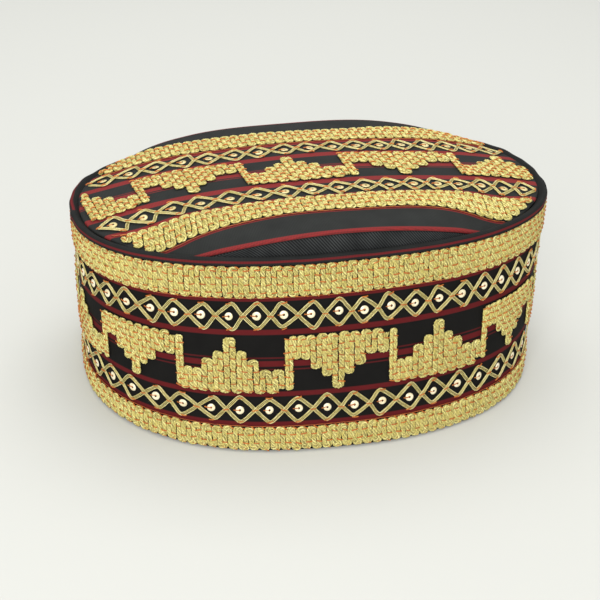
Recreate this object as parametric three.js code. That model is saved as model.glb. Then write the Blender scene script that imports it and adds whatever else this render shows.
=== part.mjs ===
// Songkok: an oval cloth cap with a stiff wall, an arched crown and couched gold embroidery.
// Millimetres, +Z up, +X along the long axis. The origin is on the ground under the middle of the cap.
import * as THREE from "three";
import { mergeVertices } from "three/addons/utils/BufferGeometryUtils.js";

// Overall sizes, over the embroidery
const topLength = 210;
const topWidth = 124;
const baseLength = 207;
const baseWidth = 164;
const wallHeight = 82;
const endRise = 2.5; // the rim is this much higher at one end and lower at the other
const outlinePower = 2.35; // 2 gives an ellipse, a larger number gives squarer corners

// Cloth, couching and the gap that neighbours keep
const wallThickness = 1.6;
const goldHeight = 1;
const clothGap = 0.3;

// Folded binding over the top edge of the wall
const bindingThickness = 1;
const bindingCrest = 1.7;
const bindingOutside = 3.6;
const bindingInside = 9;

// Crown panel
const crownThickness = 1.8;
const crownRise = 8.5; // the middle of the crown above the rim
const crownSagMiddle = 8.6; // how far the centre line falls towards the ends
const crownSagEdge = 7.5; // how much more the long edges fall there
const crownEdgeDip = 0.8;
const crownDipStart = 0.93; // share of the way out where the edge turns down
const ridgeOverhang = 1;
const ridgeReach = 0.6; // share of the half length where the ridge meets the rim

// Gussets between the ridges and the rim
const gussetThickness = 1.4;
const gussetTuck = 7;
const gussetReach = 0.62;

// Embroidery
const hem = 0.8;
const crownStripWidth = 84;
const crownStripInset = 0.6; // from the crown's edge to the ends of the strip
const crownFigureLimit = 0.975; // share of the half length where the rim cuts the figures off
const lowerDiamonds = 48;
const upperDiamonds = 52;
const crownDiamonds = 17;
const braidWidth = 1.3;
const crownLeanMiddle = -0.08; // sideways run of the crown figures for each millimetre across
const crownLeanGrow = 0.1;

// Facets
const facetsAround = 64;
const crownRings = [0.35, 0.7, crownDipStart, 1];
const crownFacetsAlong = 18;
const gussetFacets = 16;

// Bands of the wall, as shares of its embroidered height
const wallZones = {
  baseBand: { from: 0, to: 0.13 },
  lowerLattice: { from: 0.154, to: 0.297 },
  steps: { from: 0.319, to: 0.63 },
  upperLattice: { from: 0.663, to: 0.81 },
  topBand: { from: 0.832, to: 1 },
};

// Bands of the crown strip, as shares of half its width, counted from its middle line
const crownZones = {
  steps: { from: 0, to: 0.285 },
  lattice: { from: 0.365, to: 0.64 },
  band: { from: 0.685, to: 1 },
};

// Columns of one stepped figure: the share of the figure that each takes, and how many steps high it is
const stepColumns = [
  { share: 0.07, steps: 4 },
  { share: 0.08, steps: 1 },
  { share: 0.085, steps: 1 },
  { share: 0.11, steps: 2 },
  { share: 0.095, steps: 3 },
  { share: 0.12, steps: 4 },
  { share: 0.095, steps: 3 },
  { share: 0.11, steps: 2 },
  { share: 0.115, steps: 1 },
  { share: 0.12, steps: 1 },
];
const stepLevels = [0, 0.42, 0.6, 0.74, 0.97]; // shares of the stepped band

// Where each wall figure starts, as a share of the way round from the +X end
const wallFigures = [
  { start: 0.067, up: true },
  { start: 0.137, up: false },
  { start: 0.208, up: true },
  { start: 0.279, up: false },
  { start: 0.35, up: true },
  { start: 0.421, up: false },
  { start: 0.492, up: true },
  { start: 0.5625, up: false },
  { start: 0.628, up: true },
  { start: 0.7055, up: false },
  { start: 0.782, up: true },
  { start: 0.86, up: false },
  { start: 0.925, up: true },
  { start: 0.996, up: false },
];

// Crown figures along the strip: ends as shares of half its length
const crownFigures = [
  { start: -1.215, end: -0.765, up: true },
  { start: -0.765, end: -0.32, up: false },
  { start: -0.32, end: 0.138, up: true },
  { start: 0.138, end: 0.641, up: false },
  { start: 0.641, end: 1.116, up: true },
];

// Distances in from the embroidered face, which is the outline that the overall sizes give
const wallOutside = -goldHeight - clothGap;
const wallInside = wallOutside - wallThickness;
const bindingInner = wallInside - clothGap - bindingThickness;
const crownInset = bindingInner - clothGap;
const wallTop = wallHeight - bindingCrest - clothGap;
const goldFoot = hem;
const goldTop = wallHeight - bindingOutside - clothGap;

// Point on the oval at a height, moved outwards by a distance in plan
function outlinePoint(up, angle, out) {
  const share = up / wallHeight;
  const halfLength = THREE.MathUtils.lerp(baseLength, topLength, share) / 2;
  const halfWidth = THREE.MathUtils.lerp(baseWidth, topWidth, share) / 2;
  const c = Math.cos(angle);
  const s = Math.sin(angle);
  const along = Math.sign(c) * Math.abs(c) ** (2 / outlinePower);
  const across = Math.sign(s) * Math.abs(s) ** (2 / outlinePower);
  const slope = outlinePower - 1;
  const normal = new THREE.Vector2(
    (Math.sign(along) * Math.abs(along) ** slope) / halfLength,
    (Math.sign(across) * Math.abs(across) ** slope) / halfWidth,
  ).normalize();
  return new THREE.Vector3(
    along * halfLength + normal.x * out,
    across * halfWidth + normal.y * out,
    share * (wallHeight + endRise * along),
  );
}

// Angles that divide the oval, half way up the wall, into equal lengths
const outlineSteps = 1440;
const lengthTable = [0];
for (let i = 1; i <= outlineSteps; i += 1) {
  const before = outlinePoint(wallHeight / 2, (2 * Math.PI * (i - 1)) / outlineSteps, 0);
  const here = outlinePoint(wallHeight / 2, (2 * Math.PI * i) / outlineSteps, 0);
  lengthTable.push(lengthTable[i - 1] + Math.hypot(here.x - before.x, here.y - before.y));
}

function angleAt(share) {
  const turns = Math.floor(share);
  const wanted = (share - turns) * lengthTable[outlineSteps];
  let i = 1;
  while (i < outlineSteps && lengthTable[i] < wanted) {
    i += 1;
  }
  const part = (wanted - lengthTable[i - 1]) / (lengthTable[i] - lengthTable[i - 1]);
  return (2 * Math.PI * (i - 1 + part)) / outlineSteps;
}

// A closed body from triangles given as corner points, turned so that its faces point out
function bodyFrom(triangles) {
  const volume = triangles.reduce((sum, [a, b, c]) => sum + a.dot(b.clone().cross(c)), 0);
  const positions = [];
  for (const [a, b, c] of triangles) {
    const corners = volume > 0 ? [a, b, c] : [a, c, b];
    corners.forEach((p) => positions.push(p.x, p.y, p.z));
  }
  const geometry = new THREE.BufferGeometry();
  geometry.setAttribute("position", new THREE.Float32BufferAttribute(positions, 3));
  const merged = mergeVertices(geometry, 1e-4);
  merged.computeVertexNormals();
  return merged;
}

// A ring all the way round the oval, from a closed section of {out, up} points
function ringBody(section) {
  const triangles = [];
  const corner = (i, k) => {
    const point = section[k % section.length];
    return outlinePoint(point.up, angleAt((i % facetsAround) / facetsAround), point.out);
  };
  for (let i = 0; i < facetsAround; i += 1) {
    for (let k = 0; k < section.length; k += 1) {
      const [a, b, c, d] = [corner(i, k), corner(i + 1, k), corner(i + 1, k + 1), corner(i, k + 1)];
      triangles.push([a, b, c], [a, c, d]);
    }
  }
  return bodyFrom(triangles);
}

// A thin body over a surface. Patches are lists of [u, v] corners, and place(u, v, out) is the surface.
function raisedBody(patches, place, low, high) {
  const name = (p) => p.toArray().map((n) => Math.round(n * 1e4)).join();
  const triangles = [];
  const edges = new Map();
  for (const patch of patches) {
    const upper = patch.map(([u, v]) => place(u, v, high));
    const lower = patch.map(([u, v]) => place(u, v, low));
    for (let i = 2; i < patch.length; i += 1) {
      triangles.push([upper[0], upper[i - 1], upper[i]]);
      triangles.push([lower[0], lower[i], lower[i - 1]]);
    }
    upper.forEach((a, i) => {
      const k = (i + 1) % patch.length;
      const back = `${name(upper[k])} ${name(a)}`;
      if (edges.has(back)) {
        edges.delete(back);
      } else {
        edges.set(`${name(a)} ${name(upper[k])}`, [a, upper[k], lower[k], lower[i]]);
      }
    });
  }
  for (const [a, b, c, d] of edges.values()) {
    triangles.push([a, d, c], [a, c, b]);
  }
  return bodyFrom(triangles);
}

// A rectangle from u0 to u1 and v0 to v1, in equal patches along u
function stripPatches(u0, u1, v0, v1, count) {
  return Array.from({ length: count }, (_, i) => {
    const a = THREE.MathUtils.lerp(u0, u1, i / count);
    const b = THREE.MathUtils.lerp(u0, u1, (i + 1) / count);
    return [[a, v0], [b, v0], [b, v1], [a, v1]];
  });
}

// Columns of a stepped figure between two ends, with each column cut at the step heights and all cut at the limit
function steppedPatches(start, end, limit, lowest, highest, up) {
  const patches = [];
  let reached = 0;
  stepColumns.forEach((column) => {
    const a = Math.max(-limit, THREE.MathUtils.lerp(start, end, reached));
    reached += column.share;
    const b = Math.min(limit, THREE.MathUtils.lerp(start, end, reached));
    if (b <= a) {
      return;
    }
    for (let k = 0; k < column.steps; k += 1) {
      const rows = [stepLevels[k], stepLevels[k + 1]].map((h) => (up ? h : 1 - h));
      const [v0, v1] = rows.sort((x, y) => x - y).map((h) => THREE.MathUtils.lerp(lowest, highest, h));
      patches.push([[a, v0], [b, v0], [b, v1], [a, v1]]);
    }
  });
  return patches;
}

// Two crossing zigzags of braid, in count diamonds. The pitch and the height are in millimetres.
function latticePatches(u0, u1, v0, v1, count, pitch, height) {
  const across = (braidWidth * Math.hypot(pitch / 2, height / 2)) / (pitch / 2);
  const rise = (height / 2 - across / 2) / (pitch / 2);
  const notch = across / 2;
  const side = notch / rise;
  const middle = (v0 + v1) / 2;
  const point = (diamond, x, y) => [
    u0 + ((u1 - u0) * (diamond + 0.5 + x / pitch)) / count,
    middle + ((v1 - v0) * y) / height,
  ];
  const patches = [];
  for (let i = 0; i < count; i += 1) {
    for (const [sx, sy] of [[1, 1], [-1, 1], [-1, -1], [1, -1]]) {
      const inner = point(i, sx * (pitch / 2 - side), 0);
      const hole = point(i, 0, sy * (height / 2 - across));
      const peak = point(i, 0, (sy * height) / 2);
      const dip = point(i, (sx * pitch) / 2, sy * notch);
      patches.push(sx * sy > 0 ? [inner, dip, peak, hole] : [inner, hole, peak, dip]);
    }
    const left = point(i, -pitch / 2 + side, 0);
    const right = point(i, pitch / 2 - side, 0);
    patches.push([left, point(i, -pitch / 2, notch), point(i, -pitch / 2, -notch)]);
    patches.push([right, point(i, pitch / 2, -notch), point(i, pitch / 2, notch)]);
  }
  return patches;
}

// Surfaces that the raised pieces lie on
const wallRound = lengthTable[outlineSteps];
const goldSpan = goldTop - goldFoot;

function onWall(round, share, out) {
  return outlinePoint(goldFoot + goldSpan * share, angleAt(round), out);
}

const crownHalfLength = topLength / 2 + crownInset;
const crownHalfWidth = topWidth / 2 + crownInset;

function crownOut(x, y) {
  const along = Math.abs(x / crownHalfLength) ** outlinePower;
  const across = Math.abs(y / crownHalfWidth) ** outlinePower;
  return (along + across) ** (1 / outlinePower);
}

function crownTop(x, y) {
  const u = x / crownHalfLength;
  const q = y / crownHalfWidth;
  const dip = THREE.MathUtils.clamp((crownOut(x, y) - crownDipStart) / (1 - crownDipStart), 0, 1);
  const rim = wallHeight + (endRise * x) / (topLength / 2);
  return rim + crownRise - u * u * (crownSagMiddle + crownSagEdge * q * q) - crownEdgeDip * dip;
}

// How far the ridge stands over the rim, most in the middle of each long side
function overhangAt(x) {
  const share = x / (ridgeReach * crownHalfLength);
  return ridgeOverhang * Math.max(0, 1 - share * share);
}

function onCrownPlan(round, ring, up) {
  const plain = outlinePoint(wallHeight, angleAt(round), crownInset);
  const edge = outlinePoint(wallHeight, angleAt(round), crownInset + overhangAt(plain.x));
  const x = edge.x * ring;
  const y = edge.y * ring;
  return new THREE.Vector3(x, y, crownTop(x, y) + up);
}

// Point of the crown strip: u runs from end to end of the strip, across is in millimetres
function onCrownStrip(u, across, out) {
  const width = Math.min(1, Math.abs(across) / crownHalfWidth);
  const reach = (crownHalfLength - crownStripInset) * (1 - width ** outlinePower) ** (1 / outlinePower);
  const x = u * reach;
  return new THREE.Vector3(x, across, crownTop(x, across) + out);
}

// Point of a crown figure: figures lean a little
function onCrownFigure(u, across, out) {
  const lean = crownLeanMiddle + crownLeanGrow * u;
  const x = u * crownHalfLength + across * lean;
  return new THREE.Vector3(x, across, crownTop(x, across) + out);
}

// Gusset between a ridge and the rim: side is 1 at the back and -1 at the front
function onGusset(side, u, v, out) {
  const turn = Math.acos(Math.sign(u) * Math.abs(u) ** (outlinePower / 2));
  const foot = outlinePoint(wallHeight - gussetTuck, side * turn, crownInset + out);
  const rim = outlinePoint(wallHeight, side * turn, crownInset + out);
  const underCrown = (p) => crownTop(p.x, p.y) - crownThickness - clothGap;
  const head = outlinePoint(wallHeight + underCrown(rim) - rim.z, side * turn, crownInset + out);
  head.z = underCrown(head);
  return foot.lerp(head, v);
}

// Colours
const blackCloth = { color: 0x1d1d20, roughness: 0.9, metalness: 0 };
const crownCloth = { color: 0x2b2b2d, roughness: 0.9, metalness: 0 };
const twillCloth = { color: 0x232427, roughness: 0.85, metalness: 0 };
const goldThread = { color: 0xd3bb68, roughness: 0.45, metalness: 0.35 };
const goldBraid = { color: 0xe0cb85, roughness: 0.4, metalness: 0.4 };

const songkok = new THREE.Group();

function addPiece(name, geometry, finish) {
  const mesh = new THREE.Mesh(geometry, new THREE.MeshStandardMaterial(finish));
  mesh.name = name;
  songkok.add(mesh);
}

// Wall and binding
addPiece("side_band", ringBody([
  { out: wallOutside, up: 0 },
  { out: wallOutside, up: wallTop },
  { out: wallInside, up: wallTop },
  { out: wallInside, up: 0 },
]), blackCloth);

const crestMiddle = (wallOutside + wallInside) / 2;
addPiece("top_rim", ringBody([
  { out: 0, up: wallHeight - bindingOutside },
  { out: 0, up: wallHeight - bindingCrest },
  { out: crestMiddle, up: wallHeight },
  { out: bindingInner, up: wallHeight - bindingCrest },
  { out: bindingInner, up: wallHeight - bindingInside },
  { out: bindingInner + bindingThickness, up: wallHeight - bindingInside },
  { out: bindingInner + bindingThickness, up: wallHeight - bindingCrest },
  { out: -bindingThickness, up: wallHeight - bindingCrest },
  { out: -bindingThickness, up: wallHeight - bindingOutside },
]), blackCloth);

// Crown panel, in rings about its middle
const crownPatches = [];
for (let i = 0; i < facetsAround; i += 1) {
  const a = i / facetsAround;
  const b = (i + 1) / facetsAround;
  crownPatches.push([[a, 0], [a, crownRings[0]], [b, crownRings[0]]]);
  for (let k = 1; k < crownRings.length; k += 1) {
    const [inner, outer] = [crownRings[k - 1], crownRings[k]];
    crownPatches.push([[a, inner], [a, outer], [b, outer], [b, inner]]);
  }
}
addPiece("crown_panel", raisedBody(crownPatches, onCrownPlan, -crownThickness, 0), crownCloth);

// Gussets
for (const [name, side] of [["gusset_front", -1], ["gusset_back", 1]]) {
  const patches = stripPatches(-gussetReach, gussetReach, 0, 1, gussetFacets);
  const place = (u, v, out) => onGusset(side, u, v, out);
  addPiece(name, raisedBody(patches, place, -gussetThickness, 0), twillCloth);
}

// Couched bands round the wall
for (const [name, zone] of [["gold_band_base", wallZones.baseBand], ["gold_band_top", wallZones.topBand]]) {
  const patches = stripPatches(0, 1, zone.from, zone.to, facetsAround);
  addPiece(name, raisedBody(patches, onWall, -goldHeight, 0), goldThread);
}

// Stepped figures round the wall
wallFigures.forEach((figure, i) => {
  const following = wallFigures[(i + 1) % wallFigures.length].start;
  const distance = (following - figure.start + 1) % 1;
  const end = figure.start + distance - clothGap / wallRound;
  const { from, to } = wallZones.steps;
  const patches = steppedPatches(figure.start, end, Infinity, from, to, figure.up);
  const name = `wall_step_${String(i + 1).padStart(2, "0")}`;
  addPiece(name, raisedBody(patches, onWall, -goldHeight, 0), goldThread);
});

// Braid diamonds round the wall
for (const [name, zone, count] of [
  ["wall_lattice_lower", wallZones.lowerLattice, lowerDiamonds],
  ["wall_lattice_upper", wallZones.upperLattice, upperDiamonds],
]) {
  const height = (zone.to - zone.from) * goldSpan;
  const patches = latticePatches(0, 1, zone.from, zone.to, count, wallRound / count, height);
  addPiece(name, raisedBody(patches, onWall, -goldHeight, 0), goldBraid);
}

// Embroidered strip along the crown
const stripHalf = crownStripWidth / 2;
const crownLow = clothGap;
const crownHigh = clothGap + goldHeight;

for (const [name, side] of [["front", -1], ["back", 1]]) {
  const band = crownZones.band;
  const bandEdges = [side * band.from * stripHalf, side * band.to * stripHalf];
  const bandPatches = stripPatches(-1, 1, bandEdges[0], bandEdges[1], crownFacetsAlong);
  addPiece(`crown_band_${name}`, raisedBody(bandPatches, onCrownStrip, crownLow, crownHigh), goldThread);

  const { from, to } = crownZones.lattice;
  const height = (to - from) * stripHalf;
  const middleReach = onCrownStrip(1, ((from + to) / 2) * stripHalf, 0).x;
  const pitch = (2 * middleReach) / crownDiamonds;
  const edges = [side * from * stripHalf, side * to * stripHalf];
  const patches = latticePatches(-1, 1, edges[0], edges[1], crownDiamonds, pitch, height);
  addPiece(`crown_lattice_${name}`, raisedBody(patches, onCrownStrip, crownLow, crownHigh), goldBraid);
}

crownFigures.forEach((figure, i) => {
  const width = crownZones.steps.to * stripHalf;
  const end = figure.end - clothGap / crownHalfLength;
  const patches = steppedPatches(figure.start, end, crownFigureLimit, -width, width, figure.up);
  const body = raisedBody(patches, onCrownFigure, crownLow, crownHigh);
  addPiece(`crown_step_${i + 1}`, body, goldThread);
});

export default songkok;
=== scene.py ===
# Songkok: an oval cloth cap with couched gold cord, braid diamonds and sequins, dressed round its frame.
# Metres, +Z up, +X along the cap. "turn" is a share of the way round, from the +X end, counter-clockwise.
import math
import random

import bpy
from mathutils import Matrix, Vector


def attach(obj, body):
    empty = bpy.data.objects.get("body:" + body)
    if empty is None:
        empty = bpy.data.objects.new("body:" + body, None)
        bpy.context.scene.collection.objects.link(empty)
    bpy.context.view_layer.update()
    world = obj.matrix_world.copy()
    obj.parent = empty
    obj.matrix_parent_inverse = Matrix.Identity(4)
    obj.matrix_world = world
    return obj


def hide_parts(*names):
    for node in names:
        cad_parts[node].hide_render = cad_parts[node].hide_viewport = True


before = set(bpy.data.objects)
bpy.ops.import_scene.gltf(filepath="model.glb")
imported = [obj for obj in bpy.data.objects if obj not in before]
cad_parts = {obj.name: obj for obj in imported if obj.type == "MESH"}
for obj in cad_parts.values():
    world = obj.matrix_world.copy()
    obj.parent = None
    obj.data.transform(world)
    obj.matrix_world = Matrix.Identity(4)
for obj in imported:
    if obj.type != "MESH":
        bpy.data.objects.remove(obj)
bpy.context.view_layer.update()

mm = 0.001
scene = bpy.context.scene

cap = {  # outer sizes, over the embroidery
    "topLength": 210 * mm,
    "topWidth": 124 * mm,
    "baseLength": 207 * mm,
    "baseWidth": 164 * mm,
    "wallHeight": 82 * mm,
    "endRise": 2.5 * mm,  # the rim stands this much higher at +X and lower at -X
    "outlinePower": 2.35,
    "wallThickness": 1.6 * mm,
    "goldHeight": 1 * mm,
    "gap": 0.3 * mm,
    "hem": 0.8 * mm,
}
wallHeight = cap["wallHeight"]
outlinePower = cap["outlinePower"]
gap = cap["gap"]
wallFace = -cap["goldHeight"] - gap  # the wall's outer cloth, in from the embroidered face
wallInner = wallFace - cap["wallThickness"]
wallMiddle = (wallFace + wallInner) / 2


# Helpers for meshes and nodes

def addNode(tree, kind, sockets=None, **settings):
    node = tree.nodes.new(kind)
    for key, value in settings.items():
        setattr(node, key, value)
    for key, value in (sockets or {}).items():
        if isinstance(value, bpy.types.NodeSocket):
            tree.links.new(value, node.inputs[key])
        else:
            node.inputs[key].default_value = value
    return node


def outputOf(tree, kind, sockets=None, **settings):  # a new node's first output
    return addNode(tree, kind, sockets, **settings).outputs[0]


def calc(tree, operation, first, second=0.0, third=0.0, clamp=False):
    sockets = {0: first, 1: second, 2: third}
    return outputOf(tree, "ShaderNodeMath", sockets, operation=operation, use_clamp=clamp)


def vectorCalc(tree, operation, first, second=(0.0, 0.0, 0.0)):
    return outputOf(tree, "ShaderNodeVectorMath", {0: first, 1: second}, operation=operation)


def scaled(tree, vector, size):
    return outputOf(tree, "ShaderNodeVectorMath", {0: vector, "Scale": size}, operation="SCALE")


def sineOf(tree, turns):
    return calc(tree, "SINE", calc(tree, "MULTIPLY", turns, math.tau))


def newTree(name, kind, inputs, outputs):  # a word in place of a value is the kind of a socket without one
    tree = bpy.data.node_groups.new(name, kind)
    for label, value in inputs.items():
        socketKind = value if isinstance(value, str) else {float: "Float", int: "Int"}[type(value)]
        socket = tree.interface.new_socket(label, in_out="INPUT", socket_type="NodeSocket" + socketKind)
        if not isinstance(value, str):
            socket.default_value = value
    for label in outputs:
        socketKind = "Geometry" if label == "Geometry" else "Float"
        tree.interface.new_socket(label, in_out="OUTPUT", socket_type="NodeSocket" + socketKind)
    start = tree.nodes.new("NodeGroupInput")
    end = tree.nodes.new("NodeGroupOutput")
    return tree, start.outputs, end.inputs


def meshPiece(name, points, faces):
    mesh = bpy.data.meshes.new(name)
    mesh.from_pydata(points, [], faces)
    mesh.update()
    mesh.shade_smooth()
    piece = bpy.data.objects.new(name, mesh)
    scene.collection.objects.link(piece)
    return piece


def attributeMesh(name, points, edges, vectors):
    mesh = bpy.data.meshes.new(name)
    mesh.from_pydata(points, edges, [])
    for key, values in vectors.items():
        layer = mesh.attributes.new(key, "FLOAT_VECTOR", "POINT")
        layer.data.foreach_set("vector", [n for value in values for n in value])
    return mesh


def runTree(name, source, tree, values):  # a plain mesh from a source mesh and a node tree
    piece = bpy.data.objects.new(name, source)
    modifier = piece.modifiers.new(tree.name, "NODES")
    modifier.node_group = tree
    for item in tree.interface.items_tree:
        if item.item_type == "SOCKET" and item.in_out == "INPUT" and item.name in values:
            modifier[item.identifier] = values[item.name]
    scene.collection.objects.link(piece)
    evaluated = piece.evaluated_get(bpy.context.evaluated_depsgraph_get())
    mesh = bpy.data.meshes.new_from_object(evaluated)
    piece.modifiers.clear()
    piece.data = mesh
    for helper in ("outward", "heading", "spread"):
        if helper in mesh.attributes:
            mesh.attributes.remove(mesh.attributes[helper])
    return piece


def ridesOn(piece, slotName, *nodes):
    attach(piece, "root")
    if nodes:
        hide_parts(*nodes)
    return piece


def clothPiece(name, points, faces, maps, finish, slotName, node):  # maps hold a (u, v) for each corner
    piece = meshPiece(name, points, faces)
    for label, corners in maps.items():
        layer = piece.data.uv_layers.new(name=label)
        for loop, uv in zip(layer.data, corners):
            loop.uv = uv
    piece.data.materials.append(finish)
    return ridesOn(piece, slotName, node)


def signedPower(value, power):
    return math.copysign(abs(value) ** power, value)


def waves(table, first, second=0.0):  # each row holds a depth, a rate for each place, and a start
    return sum(depth * math.sin(a * first + b * second + start) for depth, a, b, start in table)


def ease(value, low, high):  # 0 below low, 1 above high, smooth between them
    share = min(1.0, max(0.0, (value - low) / (high - low)))
    return share * share * (3 - 2 * share)


# The wall's surface

wallWaves = ((0.28 * mm, 3, 25, 1.1), (0.14 * mm, 8, 40, 0))  # slight unevenness of the stiff cloth


def outlinePoint(up, angle, out):
    share = up / wallHeight
    halfLength = (cap["baseLength"] + (cap["topLength"] - cap["baseLength"]) * share) / 2
    halfWidth = (cap["baseWidth"] + (cap["topWidth"] - cap["baseWidth"]) * share) / 2
    along = signedPower(math.cos(angle), 2 / outlinePower)
    across = signedPower(math.sin(angle), 2 / outlinePower)
    nx = signedPower(along, outlinePower - 1) / halfLength
    ny = signedPower(across, outlinePower - 1) / halfWidth
    size = math.hypot(nx, ny)
    return Vector((
        along * halfLength + nx / size * out,
        across * halfWidth + ny / size * out,
        share * (wallHeight + cap["endRise"] * along),
    ))


outlineSteps = 1440
lengthTable = [0.0]  # lengths round the oval half way up the wall
for step in range(1, outlineSteps + 1):
    before = outlinePoint(wallHeight / 2, math.tau * (step - 1) / outlineSteps, 0)
    here = outlinePoint(wallHeight / 2, math.tau * step / outlineSteps, 0)
    lengthTable.append(lengthTable[-1] + (here - before).xy.length)
girth = lengthTable[-1]


def angleAt(turn):
    wanted = (turn - math.floor(turn)) * girth
    low, high = 0, outlineSteps
    while high - low > 1:
        middle = (low + high) // 2
        if lengthTable[middle] <= wanted:
            low = middle
        else:
            high = middle
    part = (wanted - lengthTable[low]) / (lengthTable[high] - lengthTable[low])
    return math.tau * (low + part) / outlineSteps


def wallPoint(turn, up, out):
    return outlinePoint(up, angleAt(turn), out + waves(wallWaves, math.tau * turn, up))


def onWall(along, up, out):  # along is metres round the wall; gives the point and the direction outwards
    turn = along / girth
    point = wallPoint(turn, up, out)
    sideways = wallPoint(turn + 0.0004, up, out) - point
    upwards = wallPoint(turn, up + 0.3 * mm, out) - point
    return point, sideways.cross(upwards).normalized()


# The crown's surface

crown = {
    "thickness": 1.8 * mm,
    "rise": 8.5 * mm,
    "sagMiddle": 8.6 * mm,
    "sagEdge": 7.5 * mm,
    "edgeDip": 0.8 * mm,
    "dipStart": 0.72,
    "dipPower": 1.6,
    "shoulderDip": 6.3 * mm,  # how much lower the front edge lies where its ridge runs into the rim
    "shoulder": 0.62,
    "shoulderPower": 2.4,
    "shoulderEnds": (0.66, 0.92),  # where it fades out along the crown
    "shoulderSide": (0.1, 0.5),  # and where it grows towards the front
    "backFlatter": 1.6 * mm,  # how much flatter the back edge's arch is
    "backMiddle": -0.03,
    "backEnds": (0.66, 0.85),
    "backSide": (0.3, 1),
    "endSkew": 2.5 * mm,
    "skewStart": 0.55,
    "ridgeOverhang": 1 * mm,
    "ridgeReach": 0.6,
    "ridgeStripeReach": 0.64,
    "rimLap": 0.9 * mm,  # how far the ends lie over the slope of the rim
    "looseFrom": 0.6,  # the cloth outside the embroidered strip is softer
}
crownWaves = ((0.45 * mm, 95, 60, 0), (0.315 * mm, 47, -130, 2))
rim = {
    "thickness": 1 * mm,
    "crest": 1.7 * mm,
    "outside": 3.6 * mm,
    "inside": 9 * mm,
    "seamTurn": 0.508,  # where the ends of the strip overlap
    "seamLength": 0.011,
    "seamStep": 0.45 * mm,
    "seamRoll": 1.5 * mm,  # behind the seam the strip is rolled this much further over
    "rollFade": 0.12,
}
rimWaves = ((0.1 * mm, 23, 0, 0), (0.08 * mm, 41, 0, 1))
rimInner = wallInner - gap - rim["thickness"]
crownInset = rimInner - gap
crownHalfLength = cap["topLength"] / 2 + crownInset
crownHalfWidth = cap["topWidth"] / 2 + crownInset


def crownOut(x, y):  # 1 on the crown's outline
    sides = abs(x / crownHalfLength) ** outlinePower + abs(y / crownHalfWidth) ** outlinePower
    return sides ** (1 / outlinePower)


def crownReach(across, margin=0.0):  # how far the crown runs along X at that place across
    width = min(1.0, abs(across) / (crownHalfWidth - margin))
    return (crownHalfLength - margin) * (1 - width ** outlinePower) ** (1 / outlinePower)


def crownWidthAt(x, margin=0.0):
    length = min(1.0, abs(x) / (crownHalfLength - margin))
    return (crownHalfWidth - margin) * (1 - length ** outlinePower) ** (1 / outlinePower)


def crownHeight(x, y):
    u = x / crownHalfLength
    q = y / crownHalfWidth
    dipShare = (crownOut(x, y) - crown["dipStart"]) / (1 - crown["dipStart"])
    dip = min(1.0, max(0.0, dipShare)) ** crown["dipPower"]
    shoulder = min(1.0, abs(u) / crown["shoulder"]) ** crown["shoulderPower"]
    shoulder *= (1 - ease(abs(u), *crown["shoulderEnds"])) * ease(-q, *crown["shoulderSide"])
    flatter = math.cos(math.pi * (u - crown["backMiddle"]) / crown["shoulder"])
    flatter *= (1 - ease(abs(u), *crown["backEnds"])) * ease(q, *crown["backSide"])
    loose = max(0.0, abs(q) - crown["looseFrom"])
    level = wallHeight + cap["endRise"] * x / (cap["topLength"] / 2)
    arch = crown["rise"] - u * u * (crown["sagMiddle"] + crown["sagEdge"] * q * q)
    drop = (crown["edgeDip"] + crown["shoulderDip"] * shoulder) * dip + crown["backFlatter"] * flatter
    return level + arch - drop + waves(crownWaves, x, y) * (0.25 + 3 * loose) * (1 - dip)


def crownSkew(x):  # the woven strip turns towards the front at its -X end
    return -crown["endSkew"] * ease(-x / crownHalfLength, crown["skewStart"], 1.0)


def onCrown(x, y, out):
    def point(px, py):
        return Vector((px, py, crownHeight(px, py)))
    here = point(x, y)
    outward = (point(x + 0.3 * mm, y) - here).cross(point(x, y + 0.3 * mm) - here).normalized()
    return here + outward * out, outward


# Bands of the wall, in metres up, and of the crown, in metres from its middle line

goldFoot = cap["hem"]
goldTop = wallHeight - rim["outside"] - gap
wallShares = {
    "baseBand": (0, 0.13),
    "lowerLattice": (0.154, 0.297),
    "steps": (0.319, 0.63),
    "upperLattice": (0.663, 0.81),
    "topBand": (0.832, 1),
}
wallZones = {}
for name, shares in wallShares.items():
    wallZones[name] = tuple(goldFoot + (goldTop - goldFoot) * share for share in shares)
stripHalf = 42 * mm
crownZones = {
    "steps": 0.285 * stripHalf,
    "lattice": (0.365 * stripHalf, 0.64 * stripHalf),
    "band": (0.685 * stripHalf, stripHalf),
}


# Shader groups that several finishes share

def makeStripeMask():
    inputs = {"Position": 0.0, "Centre": 0.0, "Half Width": 0.001, "Softness": 0.0002}
    tree, given, result = newTree("stripeMask", "ShaderNodeTree", inputs, ["Mask"])
    distance = calc(tree, "ABSOLUTE", calc(tree, "SUBTRACT", given["Position"], given["Centre"]))
    inside = calc(tree, "SUBTRACT", given["Half Width"], distance)
    ramp = calc(tree, "DIVIDE", inside, given["Softness"])
    tree.links.new(calc(tree, "ADD", ramp, 0.5, clamp=True), result["Mask"])
    return tree


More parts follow.
